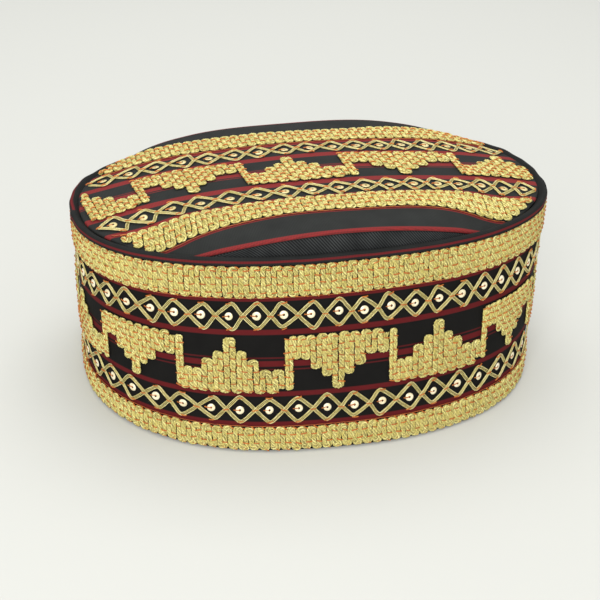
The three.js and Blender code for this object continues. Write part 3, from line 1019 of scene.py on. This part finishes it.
def markPoints(spots, place, lean=0.0):
    # spots hold (along, up, out). The heading runs along the band, turned by lean.
    points, outwards, headings = [], [], []
    for along, up, out in spots:
        point, outward = place(along, up, out)
        ahead = place(along + 0.3 * mm * math.cos(lean), up + 0.3 * mm * math.sin(lean), out)[0] - point
        points.append(point)
        outwards.append(outward)
        headings.append(ahead.normalized())
    return points, outwards, headings


def scatterPiece(name, marks, tree, slotName, values):
    points, outwards, headings = marks
    source = attributeMesh(name, points, [], {"outward": outwards, "heading": headings})
    return ridesOn(runTree(name, source, tree, values), slotName)


def joinMarks(several):
    return tuple(sum((list(part[i]) for part in several), []) for i in range(3))


wallTies, crownTies = [], []  # marks for the stitches, gathered while the cord is laid


def bandColumns(low, high, start, length, count):
    width = length / count
    return [(start + i * width, start + (i + 1) * width, low, high) for i in range(count)]


def layWallBand(name, node, zone, rows, seed):
    low, high = wallZones[zone]
    columns = bandColumns(low, high, 0, girth, round(girth / couching["loopWidth"]))
    again = (columns[0][0] + girth, columns[0][1] + girth, low, high)
    path, ties = loopPath(columns + [again], random.Random(seed), rows)
    while path[-1][0] > girth + couching["halfPass"] * 0.6:  # the ring closes where the first loop starts
        path.pop()
    depth = stitching["edgeDepth"]
    edges = [(right + couching["sweep"], low + stitching["baseInset"], depth) for _, right, _, _ in columns]
    edges += [(right, high - stitching["topInset"], depth) for _, right, _, _ in columns]
    layCord(name, [path], True, onWall, "gold_couching", [node], seed)
    wallTies.append(markPoints([(a, up, stitching["lift"]) for a, up in ties if a < girth], onWall))
    wallTies.append(markPoints(edges, onWall, stitching["edgeLean"]))


# Stepped figures

stepColumns = [  # share of the figure, and how many steps high
    (0.07, 4), (0.08, 1), (0.085, 1), (0.11, 2), (0.095, 3),
    (0.12, 4), (0.095, 3), (0.11, 2), (0.115, 1), (0.12, 1),
]
stepLevels = [0, 0.42, 0.6, 0.74, 0.97]
thinShare = 0.6  # a column that the rim cuts to less than this is left out
wallFigures = [  # where each starts, as a share of the way round
    0.067, 0.137, 0.208, 0.279, 0.35, 0.421, 0.492,
    0.5625, 0.628, 0.7055, 0.782, 0.86, 0.925, 0.996,
]
crownFigures = [  # start and end as shares of the half length, and whether it points up
    (-1.175, -0.765, True),
    (-0.765, -0.32, False),
    (-0.32, 0.138, True),
    (0.138, 0.641, False),
    (0.641, 1.116, True),
]


def figureColumns(start, end, height, limit=math.inf):
    columns, reached = [], 0.0
    for share, steps in stepColumns:
        left = max(-limit, start + (end - start) * reached)
        reached += share
        right = min(limit, start + (end - start) * reached)
        if right - left > thinShare * share * (end - start):
            columns.append((left, right, 0.0, stepLevels[steps] * height))
    return columns


def layFigure(name, node, columns, place, ties, seed, rows=None):
    path, tied = loopPath(columns, random.Random(seed), rows)
    layCord(name, [path], False, place, "gold_couching", [node], seed)
    ties.append(markPoints([(a, up, stitching["lift"]) for a, up in tied], place))


def layWallFigures():
    low, high = wallZones["steps"]
    for i, start in enumerate(wallFigures):
        following = wallFigures[(i + 1) % len(wallFigures)]
        width = ((following - start) % 1) * girth - gap

        def place(along, up, out, flip=i % 2 == 1):  # every second figure points down
            return onWall(along, high - up if flip else low + up, out)

        columns = figureColumns(start * girth, start * girth + width, high - low)
        number = f"{i + 1:02d}"
        layFigure(f"goldStep{number}", f"wall_step_{number}", columns, place, wallTies, 40 + i)


# Braid diamonds: two crossing zigzags of flat braid, with a sequin in each diamond

braid = {
    "strands": 3,
    "strandRadius": 0.24 * mm,
    "sideGap": 0.56 * mm,
    "sides": 4,
    "waver": 0.34 * mm,
    "depth": -0.75 * mm,
    "overlap": 0.26 * mm,  # how far one zigzag lifts over the other where they cross
    "roundness": 0.965,
    "pointsInDiamond": 14,
    "margin": -0.25 * mm,
    "nudge": 1.3 * mm,
    "sizes": (0.82, 1.06),
    "crossingDepth": -0.05 * mm,  # of the stitches where the zigzags cross, and at their peaks
    "peakDepth": -0.3 * mm,
    "peakReach": 0.97,
    "peakLean": 0.2,
}
sequin = {
    "outerRadius": 1.78 * mm,
    "holeRadius": 0.45 * mm,
    "thickness": 0.22 * mm,
    "depth": -0.85 * mm,
    "astray": 0.4 * mm,
    "tieBack": 1.25 * mm,  # of the middle of its stitch, from the hole towards the edge
    "tieLift": 0.2 * mm,
}


def latticePaths(start, length, low, high, count, chance):
    middle = (low + high) / 2
    reach = (high - low) / 2 + braid["margin"]
    nudges = [chance.uniform(-1, 1) * braid["nudge"] for _ in range(count + 1)]
    sizes = [[chance.uniform(*braid["sizes"]) for _ in range(count + 1)] for _ in range(2)]
    paths = []
    for n, sign in enumerate((1, -1)):
        path = []
        for k in range(count * braid["pointsInDiamond"] + 1):
            p = k / braid["pointsInDiamond"]
            cell = min(int(p), count - 1)
            wave = math.asin(braid["roundness"] * math.sin(math.pi * p)) / math.asin(braid["roundness"])
            nudge = nudges[cell] * math.sin(math.pi * (p - cell)) ** 2
            up = middle + sign * reach * wave * sizes[n][cell]
            lift = sign * braid["overlap"] * math.cos(math.pi * p)
            path.append((start + length * p / count + nudge, up, braid["depth"] + lift))
        paths.append(path)
    crossings = [(start + length * i / count, middle) for i in range(count + 1)]
    peaks, centres = [], []
    for i in range(count):
        along = start + length * (i + 0.5) / count
        peaks += [(along, middle + way * reach * braid["peakReach"]) for way in (-1, 1)]
        centres.append([n + chance.uniform(-1, 1) * sequin["astray"] for n in (along, middle)])
    return paths, crossings, peaks, centres


braidValues = {
    "Strands": braid["strands"], "Strand Radius": braid["strandRadius"], "Sides": braid["sides"],
    "Twist Across": 0.0, "Twist Out": 0.0, "Side Gap": braid["sideGap"], "Waver": braid["waver"],
}
wallSequins, crownSequins = [], []


def layLattice(name, node, start, length, low, high, count, closed, place, ties, sequins, seed):
    paths, crossings, peaks, centres = latticePaths(start, length, low, high, count, random.Random(seed))
    if closed:
        paths = [path[:-1] for path in paths]
        crossings = crossings[:-1]
    layCord(name, paths, closed, place, "gold_braid", [node], seed, braidValues, braidThread)
    ties.append(markPoints([(a, up, braid["crossingDepth"]) for a, up in crossings], place))
    ties.append(markPoints([(a, up, braid["peakDepth"]) for a, up in peaks], place, braid["peakLean"]))
    sequins.append(markPoints([(a, up, sequin["depth"]) for a, up in centres], place))


# The crown's strip

crownLean = {  # how the figures lean, and how their feet spread towards the low end
    "middle": -0.08,
    "grow": 0.1,
    "endStart": 0.74,
    "endDrop": 15 * mm,
}
crownStripInset = 0.6 * mm
crownRaise = gap + cap["goldHeight"]  # the top of the crown's embroidery above its cloth
bandRows = {"base": ((0.35,), (0.72,)), "top": ((0.2, 0.68), (0.44, 0.88)), "crown": ((0.22, 0.76), (0.5,))}


def onCrownFace(x, y, out):
    limit = crownWidthAt(x, crownStripInset)
    return onCrown(x, max(-limit, min(limit, y + crownSkew(x))), crownRaise + out)


def layCrownBand(name, node, side, seed):
    low, high = crownZones["band"]
    reach = crownReach(low, crownStripInset)
    count = round(2 * reach / couching["loopWidth"])
    columns = []
    for left, right, _, _ in bandColumns(low, high, -reach, 2 * reach, count):
        nearer = abs(left + right) / 2 - 0.3 * (right - left)
        top = min(high, crownWidthAt(nearer, crownStripInset) - side * crownSkew(left))
        if top - low > 2 * mm:
            columns.append((left, right, 0.0, top - low))

    def place(along, up, out):
        return onCrownFace(along, side * (low + up), out)

    layFigure(name, node, columns, place, crownTies, seed, bandRows["crown"])


def layCrownFigures():
    half = crownZones["steps"]
    limit = 0.99 * crownHalfLength
    for i, (start, end, pointsUp) in enumerate(crownFigures):
        columns = figureColumns(start * crownHalfLength, end * crownHalfLength - gap, 2 * half, limit)

        def place(along, up, out, flip=not pointsUp):
            across = half - up if flip else up - half
            nearEnd = max(0.0, -along / crownHalfLength - crownLean["endStart"])
            across -= crownLean["endDrop"] * nearEnd * (1 - up / (2 * half))
            lean = crownLean["middle"] + crownLean["grow"] * along / crownHalfLength
            reach = crownReach(across + crownSkew(along), crownStripInset) - couching["halfBundle"]
            return onCrownFace(max(-reach, min(reach, along + across * lean)), across, out)

        layFigure(f"crownStep{i + 1}", f"crown_step_{i + 1}", columns, place, crownTies, 70 + i)


def layCrownLattice(name, node, side, count, shift, seed):  # shift moves its middle towards +X
    low, high = crownZones["lattice"]
    reach = crownReach((low + high) / 2, crownStripInset)

    def place(along, up, out):
        shifted = along + shift * math.cos(math.pi / 2 * min(1.0, abs(along) / reach))
        there = crownReach(side * up + crownSkew(along), crownStripInset)
        return onCrownFace(shifted / reach * min(reach, there), side * up, out)

    layLattice(name, node, -reach, 2 * reach, low, high, count, False, place, crownTies, crownSequins, seed)


# Edge threads: one thin, wavering thread along each edge of a couched band

edging = {"radius": 0.2 * mm, "waver": 0.5 * mm, "gap": 1.0 * mm, "depth": -0.95 * mm}


def layEdging(name, lines, place, closed, seed):
    values = {
        "Strands": 1, "Strand Radius": edging["radius"], "Sides": 4,
        "Twist Across": 0.0, "Twist Out": 0.0, "Waver": edging["waver"],
    }
    paths = []
    for level, start, end in lines:
        count = round((end - start) / edging["gap"])
        places = [start + (end - start) * k / count for k in range(count + 1 - closed)]
        paths.append([(along, level, edging["depth"]) for along in places])
    layCord(name, paths, closed, place, "gold_couching", [], seed, values, edgeThread)


# Everything on the cap

print("Songkok: cloth wall, binding, crown and gussets")
makeSideBand()
makeTopRim()
makeCrownPanel()
makeGusset("gussetFront", "gusset_front", -1)
makeGusset("gussetBack", "gusset_back", 1)

print("Songkok: couched bands")
layWallBand("goldBandBase", "gold_band_base", "baseBand", bandRows["base"], 11)
layWallBand("goldBandTop", "gold_band_top", "topBand", bandRows["top"], 12)
layCrownBand("crownBandFront", "crown_band_front", -1, 13)
layCrownBand("crownBandBack", "crown_band_back", 1, 14)

print("Songkok: stepped figures")
layWallFigures()
layCrownFigures()

print("Songkok: braid diamonds")
for name, node, zone, start, count, seed in (
    ("braidLower", "wall_lattice_lower", "lowerLattice", -2.5 * mm, 48, 21),
    ("braidUpper", "wall_lattice_upper", "upperLattice", 2 * mm, 52, 22),
):
    layLattice(name, node, start, girth, *wallZones[zone], count, True, onWall, wallTies, wallSequins, seed)
layCrownLattice("crownBraidFront", "crown_lattice_front", -1, 17, 6.5 * mm, 23)
layCrownLattice("crownBraidBack", "crown_lattice_back", 1, 17, 2.8 * mm, 24)

print("Songkok: stitches, sequins and edge threads")
stitchValues = {
    "Length": stitching["length"], "Thickness": stitching["thickness"], "Bow": stitching["bow"],
    "Tilt": 0.08, "Turn": 0.26, "Size Spread": 0.16, "Finish": orangeThread,
}
sequinValues = {
    "Outer Radius": sequin["outerRadius"], "Hole Radius": sequin["holeRadius"],
    "Thickness": sequin["thickness"], "Tilt": 0.12, "Turn": 3.0, "Size Spread": 0.06, "Seed": 7,
}
sequinStitch = {**stitchValues, "Length": 2.7 * mm, "Thickness": 0.46 * mm, "Bow": 0.3 * mm, "Seed": 8}
for name, ties, seed in (("Wall", wallTies, 5), ("Crown", crownTies, 6)):
    values = {**stitchValues, "Seed": seed}
    scatterPiece(f"stitches{name}", joinMarks(ties), stitchScatter, "gold_couching", values)
for name, sequins, finish in (("Wall", wallSequins, sequinFoil), ("Crown", crownSequins, dullSequinFoil)):
    points, outwards, headings = marks = joinMarks(sequins)
    scatterPiece(f"sequins{name}", marks, sequinScatter, "gold_braid", {**sequinValues, "Finish": finish})
    moved = []
    for point, outward, heading in zip(points, outwards, headings):
        moved.append(point - heading * sequin["tieBack"] + outward * sequin["tieLift"])
    marks = (moved, outwards, headings)
    scatterPiece(f"sequinTies{name}", marks, stitchScatter, "gold_couching", sequinStitch)

edgeLevels = (wallZones["baseBand"][1] + 0.1 * mm, wallZones["topBand"][0] - 0.1 * mm, goldTop + 0.05 * mm)
layEdging("edgeThreadsWall", [(level, 0, girth) for level in edgeLevels], onWall, True, 31)
crownEdges = []
for side in (-1, 1):
    for level in (crownZones["band"][0] - 0.2 * mm, crownZones["band"][1] + 0.2 * mm):
        reach = crownReach(level, crownStripInset) - 1 * mm
        crownEdges.append((side * level, -reach, reach))
layEdging("edgeThreadsCrown", crownEdges, onCrownFace, False, 32)

# Floor, light and camera

stage = {
    "floor": (0.56, 0.565, 0.535, 1),
    "halfFloor": 3.0,
    "world": (1.0, 1.0, 0.98, 1),
    "worldStrength": 0.74,
    "aim": Vector((0, 0, 0.04)),
}
lamps = (  # name, place, size and power
    ("topLight", (0.1, 0.35, 1.15), 1.0, 9.0),
    ("frontLight", (-0.4, -1.1, 0.7), 0.8, 14.0),
)


def makeFloor():
    half = stage["halfFloor"]
    corners = [(-half, -half, 0), (half, -half, 0), (half, half, 0), (-half, half, 0)]
    piece = meshPiece("floor", corners, [(0, 1, 2, 3)])
    material, tree, shader = newFinish("floorPaper", 0.9)
    tone = groupNode(tree, threadTone, {"Vector": objectPlace(tree), "Patch Size": 0.4})
    colour = stage["floor"]
    darker = tuple(0.97 * n for n in colour[:3]) + (1,)
    tree.links.new(mixColour(tree, tone.outputs["Tone"], colour, darker), shader.inputs["Base Color"])
    piece.data.materials.append(material)


def makeLights():
    world = bpy.data.worlds.new("studio")
    scene.world = world
    world.use_nodes = True
    background = world.node_tree.nodes["Background"]
    background.inputs["Color"].default_value = stage["world"]
    background.inputs["Strength"].default_value = stage["worldStrength"]
    for name, place, size, power in lamps:
        light = bpy.data.lights.new(name, "AREA")
        light.size = size
        light.energy = power
        lamp = bpy.data.objects.new(name, light)
        scene.collection.objects.link(lamp)
        lamp.location = place
        lamp.rotation_mode = "QUATERNION"
        lamp.rotation_quaternion = (Vector(place) - stage["aim"]).to_track_quat("Z", "Y")


shot = {  # the photograph's camera
    "azimuth": 13.86,
    "elevation": 30.48,
    "roll": 2.72,
    "lens": 70.26,
    "distance": 535.3 * mm,
    "right": -3.0 * mm,
    "up": -15.1 * mm,
    "aimHeight": 41 * mm,
}


def makeCamera():
    elevation, roll = math.radians(shot["elevation"]), math.radians(shot["roll"])
    forward = Vector((0, math.cos(elevation), -math.sin(elevation)))
    upward = Vector((0, math.sin(elevation), math.cos(elevation)))
    right = Vector((1, 0, 0))
    place = right * shot["right"] + upward * shot["up"] - forward * shot["distance"]
    imageX = right * math.cos(roll) + upward * math.sin(roll)
    imageY = upward * math.cos(roll) - right * math.sin(roll)
    axes = Matrix((imageX, imageY, -forward)).transposed().to_4x4()
    turn = Matrix.Rotation(-math.radians(shot["azimuth"]), 4, "Z")
    aim = Matrix.Translation((0, 0, shot["aimHeight"]))
    camera = bpy.data.objects.new("camera", bpy.data.cameras.new("camera"))
    scene.collection.objects.link(camera)
    camera.data.lens = shot["lens"]
    camera.data.sensor_width = 36
    camera.data.clip_start = 0.02
    camera.matrix_world = aim @ turn @ Matrix.Translation(place) @ axes
    scene.camera = camera


print("Songkok: floor, light and camera")
makeFloor()
makeLights()
makeCamera()
scene.view_settings.view_transform = "Standard"
